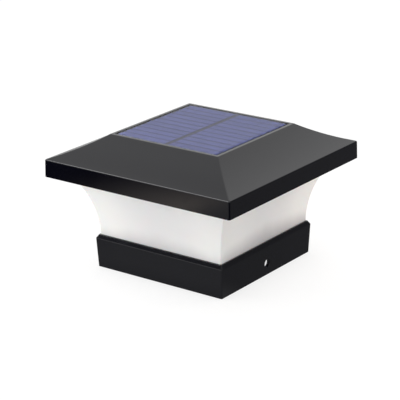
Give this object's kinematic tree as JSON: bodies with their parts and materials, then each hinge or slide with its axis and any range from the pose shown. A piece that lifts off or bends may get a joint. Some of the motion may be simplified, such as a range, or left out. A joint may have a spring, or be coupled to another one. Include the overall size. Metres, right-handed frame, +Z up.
{
  "type": "deck post cap light",
  "caption": "Square solar cap light for a deck post: hipped black roof with a recessed solar panel, flared frosted diffuser and a black collar that slips over the post.",
  "frame": {"origin": "centre of the collar's lower edge, at the bottom of the light", "axes": "+Z up, X and Y square to the collar's walls; the two post screw holes lie on X and the cell bay lies along X"},
  "size_m": [0.146, 0.146, 0.0904],
  "materials": {
    "black_plastic": "satin black moulded plastic",
    "adhesive_sheet": "black foam adhesive",
    "panel_backing": "dark laminate board",
    "silicon": "blue silicon strips",
    "clear_cover": "clear glossy cover",
    "frosted_plastic": "frosted translucent white plastic",
    "seal_rubber": "soft black seal",
    "white_plastic": "white moulded plastic",
    "socket_plastic": "cream socket plastic",
    "screw_steel": "zinc plated screws",
    "white_board": "white solder mask",
    "led_housing": "yellow phosphor in a white housing",
    "cell_sleeve": "plain printed sleeve",
    "contact_metal": "nickel plated spring steel",
    "green_board": "green solder mask",
    "chip_resin": "black resin",
    "coil_ferrite": "ferrite and enamelled wire",
    "capacitor_sleeve": "dark sleeve",
    "switch_metal": "tinned switch can",
    "knob_plastic": "black switch knob"
  },
  "bodies": {
    "light": {"roof_shell": "black_plastic", "panel_tape": "adhesive_sheet", "panel_board": "panel_backing", "solar_cells": "silicon", "panel_cover": "clear_cover", "diffuser": "frosted_plastic", "roof_gasket": "seal_rubber", "tray": "white_plastic", "flange_screws": "screw_steel", "led_board": "white_board", "leds": "led_housing", "led_screws": "screw_steel", "battery_box": "white_plastic", "battery_box_screws": "screw_steel", "battery_cell": "cell_sleeve", "spring_contact": "contact_metal", "plate_contact": "contact_metal", "control_board": "green_board", "control_chip": "chip_resin", "coil": "coil_ferrite", "capacitor": "capacitor_sleeve", "lead_sockets": "socket_plastic", "control_screws": "screw_steel", "switch_body": "switch_metal", "collar": "black_plastic", "collar_screws": "screw_steel"},
    "switch_knob": {"switch_knob": "knob_plastic"},
    "battery_door": {"battery_door": "white_plastic"}
  },
  "joints": [
    {"name": "switch_slide", "type": "slide", "parent": "light", "child": "switch_knob", "axis": [1, 0, 0], "range_m": [0, 0.004]},
    {"name": "battery_door_hinge", "type": "hinge", "parent": "light", "child": "battery_door", "pos_m": [0, -0.00744, 0.0487], "axis": [-1, 0, 0], "range_deg": [0, 110]}
  ]
}
